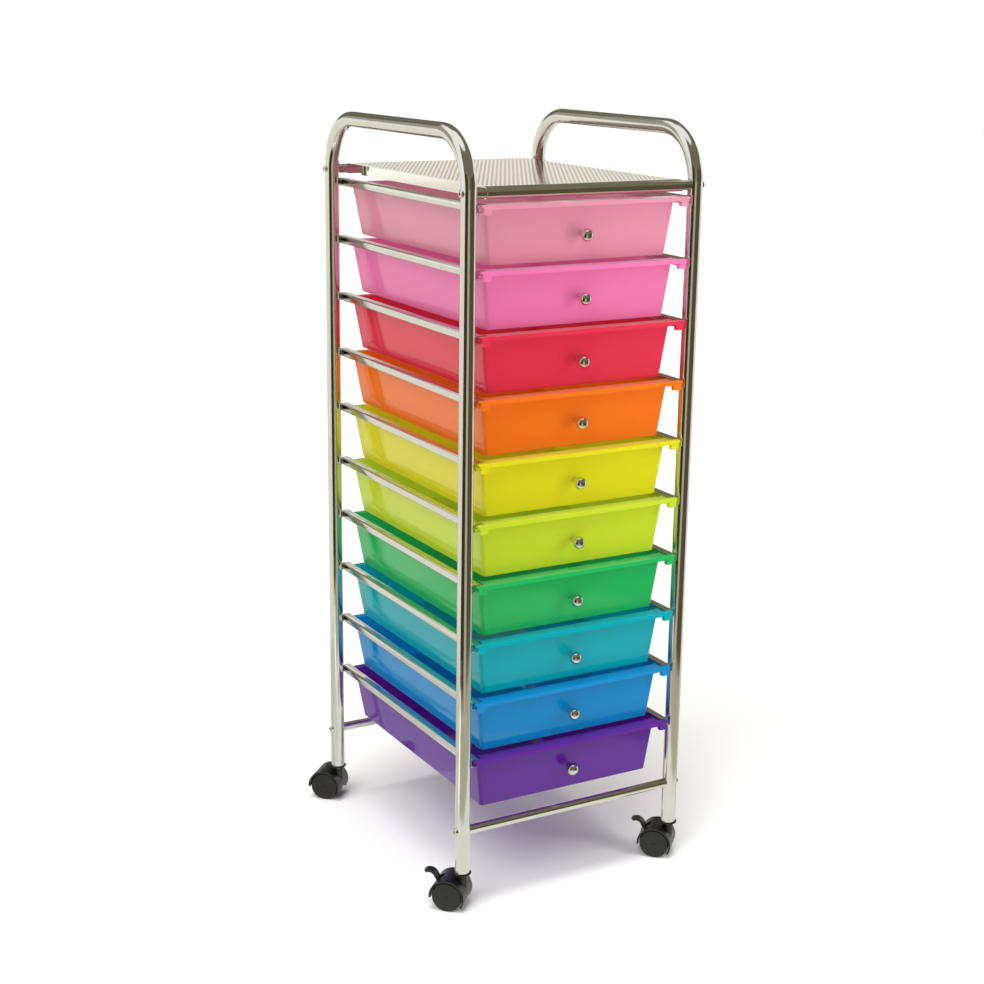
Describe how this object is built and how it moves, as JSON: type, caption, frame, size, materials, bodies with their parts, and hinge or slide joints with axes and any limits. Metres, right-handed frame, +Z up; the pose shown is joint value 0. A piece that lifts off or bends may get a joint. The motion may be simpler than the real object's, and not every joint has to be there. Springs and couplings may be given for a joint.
{
  "type": "rolling drawer cart",
  "caption": "Tall narrow rolling cart: chromed tube side frames, stacked translucent sliding drawers in rainbow colours, a perforated top shelf and swivel casters.",
  "frame": {"origin": "on the floor, under the middle of the four legs", "axes": "+Z up, the drawers open towards -Y, +X to the right of someone facing the drawers"},
  "size_m": [0.3758, 0.4338, 0.97],
  "materials": {
    "chrome": "polished chrome plate",
    "steel": "zinc plated",
    "black_plastic": "moulded nylon",
    "rose_plastic": "frosted translucent polypropylene",
    "pink_plastic": "frosted translucent polypropylene",
    "red_plastic": "frosted translucent polypropylene",
    "orange_plastic": "frosted translucent polypropylene",
    "yellow_plastic": "frosted translucent polypropylene",
    "lime_plastic": "frosted translucent polypropylene",
    "green_plastic": "frosted translucent polypropylene",
    "teal_plastic": "frosted translucent polypropylene",
    "blue_plastic": "frosted translucent polypropylene",
    "purple_plastic": "frosted translucent polypropylene"
  },
  "bodies": {
    "frame": {"left_side_frame": "chrome", "right_side_frame": "chrome", "left_rails": "chrome", "right_rails": "chrome", "top_shelf": "chrome", "shelf_front_tube": "chrome", "shelf_rear_tube": "chrome", "front_crossbar": "chrome", "rear_crossbar": "chrome", "frame_screws": "chrome", "caster_sockets": "black_plastic", "caster_stems": "steel"},
    "drawer_1": {"drawer_1_tray": "rose_plastic", "drawer_1_knob": "chrome", "drawer_1_screw": "steel"},
    "drawer_2": {"drawer_2_tray": "pink_plastic", "drawer_2_knob": "chrome", "drawer_2_screw": "steel"},
    "drawer_3": {"drawer_3_tray": "red_plastic", "drawer_3_knob": "chrome", "drawer_3_screw": "steel"},
    "drawer_4": {"drawer_4_tray": "orange_plastic", "drawer_4_knob": "chrome", "drawer_4_screw": "steel"},
    "drawer_5": {"drawer_5_tray": "yellow_plastic", "drawer_5_knob": "chrome", "drawer_5_screw": "steel"},
    "drawer_6": {"drawer_6_tray": "lime_plastic", "drawer_6_knob": "chrome", "drawer_6_screw": "steel"},
    "drawer_7": {"drawer_7_tray": "green_plastic", "drawer_7_knob": "chrome", "drawer_7_screw": "steel"},
    "drawer_8": {"drawer_8_tray": "teal_plastic", "drawer_8_knob": "chrome", "drawer_8_screw": "steel"},
    "drawer_9": {"drawer_9_tray": "blue_plastic", "drawer_9_knob": "chrome", "drawer_9_screw": "steel"},
    "drawer_10": {"drawer_10_tray": "purple_plastic", "drawer_10_knob": "chrome", "drawer_10_screw": "steel"},
    "front_left_caster": {"front_left_hood": "black_plastic", "front_left_axle": "steel"},
    "front_left_wheel_1": {"front_left_wheel_1": "black_plastic"},
    "front_left_wheel_2": {"front_left_wheel_2": "black_plastic"},
    "front_left_brake": {"front_left_brake_lever": "black_plastic"},
    "front_right_caster": {"front_right_hood": "black_plastic", "front_right_axle": "steel"},
    "front_right_wheel_1": {"front_right_wheel_1": "black_plastic"},
    "front_right_wheel_2": {"front_right_wheel_2": "black_plastic"},
    "front_right_brake": {"front_right_brake_lever": "black_plastic"},
    "rear_left_caster": {"rear_left_hood": "black_plastic", "rear_left_axle": "steel"},
    "rear_left_wheel_1": {"rear_left_wheel_1": "black_plastic"},
    "rear_left_wheel_2": {"rear_left_wheel_2": "black_plastic"},
    "rear_right_caster": {"rear_right_hood": "black_plastic", "rear_right_axle": "steel"},
    "rear_right_wheel_1": {"rear_right_wheel_1": "black_plastic"},
    "rear_right_wheel_2": {"rear_right_wheel_2": "black_plastic"}
  },
  "joints": [
    {"name": "drawer_1_slide", "type": "slide", "parent": "frame", "child": "drawer_1", "axis": [0, -1, 0], "range_m": [0, 0.25]},
    {"name": "drawer_2_slide", "type": "slide", "parent": "frame", "child": "drawer_2", "axis": [0, -1, 0], "range_m": [0, 0.25]},
    {"name": "drawer_3_slide", "type": "slide", "parent": "frame", "child": "drawer_3", "axis": [0, -1, 0], "range_m": [0, 0.25]},
    {"name": "drawer_4_slide", "type": "slide", "parent": "frame", "child": "drawer_4", "axis": [0, -1, 0], "range_m": [0, 0.25]},
    {"name": "drawer_5_slide", "type": "slide", "parent": "frame", "child": "drawer_5", "axis": [0, -1, 0], "range_m": [0, 0.25]},
    {"name": "drawer_6_slide", "type": "slide", "parent": "frame", "child": "drawer_6", "axis": [0, -1, 0], "range_m": [0, 0.25]},
    {"name": "drawer_7_slide", "type": "slide", "parent": "frame", "child": "drawer_7", "axis": [0, -1, 0], "range_m": [0, 0.25]},
    {"name": "drawer_8_slide", "type": "slide", "parent": "frame", "child": "drawer_8", "axis": [0, -1, 0], "range_m": [0, 0.25]},
    {"name": "drawer_9_slide", "type": "slide", "parent": "frame", "child": "drawer_9", "axis": [0, -1, 0], "range_m": [0, 0.25]},
    {"name": "drawer_10_slide", "type": "slide", "parent": "frame", "child": "drawer_10", "axis": [0, -1, 0], "range_m": [0, 0.25]},
    {"name": "front_left_swivel", "type": "hinge", "parent": "frame", "child": "front_left_caster", "pos_m": [-0.1575, -0.1865, 0.04], "axis": [0, 0, 1], "continuous": true},
    {"name": "front_left_wheel_1_spin", "type": "hinge", "parent": "front_left_caster", "child": "front_left_wheel_1", "pos_m": [-0.16811, -0.17589, 0.0195], "axis": [-0.7071, -0.7071, 0], "continuous": true},
    {"name": "front_left_wheel_2_spin", "type": "hinge", "parent": "front_left_caster", "child": "front_left_wheel_2", "pos_m": [-0.16811, -0.17589, 0.0195], "axis": [-0.7071, -0.7071, 0], "continuous": true},
    {"name": "front_left_brake_press", "type": "hinge", "parent": "front_left_caster", "child": "front_left_brake", "pos_m": [-0.1764, -0.1676, 0.03031], "axis": [-0.7071, -0.7071, 0], "range_deg": [0, 18]},
    {"name": "front_right_swivel", "type": "hinge", "parent": "frame", "child": "front_right_caster", "pos_m": [0.1575, -0.1865, 0.04], "axis": [0, 0, 1], "continuous": true},
    {"name": "front_right_wheel_1_spin", "type": "hinge", "parent": "front_right_caster", "child": "front_right_wheel_1", "pos_m": [0.14689, -0.17589, 0.0195], "axis": [-0.7071, -0.7071, 0], "continuous": true},
    {"name": "front_right_wheel_2_spin", "type": "hinge", "parent": "front_right_caster", "child": "front_right_wheel_2", "pos_m": [0.14689, -0.17589, 0.0195], "axis": [-0.7071, -0.7071, 0], "continuous": true},
    {"name": "front_right_brake_press", "type": "hinge", "parent": "front_right_caster", "child": "front_right_brake", "pos_m": [0.1386, -0.1676, 0.03031], "axis": [-0.7071, -0.7071, 0], "range_deg": [0, 18]},
    {"name": "rear_left_swivel", "type": "hinge", "parent": "frame", "child": "rear_left_caster", "pos_m": [-0.1575, 0.1865, 0.04], "axis": [0, 0, 1], "continuous": true},
    {"name": "rear_left_wheel_1_spin", "type": "hinge", "parent": "rear_left_caster", "child": "rear_left_wheel_1", "pos_m": [-0.16811, 0.19711, 0.0195], "axis": [-0.7071, -0.7071, 0], "continuous": true},
    {"name": "rear_left_wheel_2_spin", "type": "hinge", "parent": "rear_left_caster", "child": "rear_left_wheel_2", "pos_m": [-0.16811, 0.19711, 0.0195], "axis": [-0.7071, -0.7071, 0], "continuous": true},
    {"name": "rear_right_swivel", "type": "hinge", "parent": "frame", "child": "rear_right_caster", "pos_m": [0.1575, 0.1865, 0.04], "axis": [0, 0, 1], "continuous": true},
    {"name": "rear_right_wheel_1_spin", "type": "hinge", "parent": "rear_right_caster", "child": "rear_right_wheel_1", "pos_m": [0.14689, 0.19711, 0.0195], "axis": [-0.7071, -0.7071, 0], "continuous": true},
    {"name": "rear_right_wheel_2_spin", "type": "hinge", "parent": "rear_right_caster", "child": "rear_right_wheel_2", "pos_m": [0.14689, 0.19711, 0.0195], "axis": [-0.7071, -0.7071, 0], "continuous": true}
  ]
}
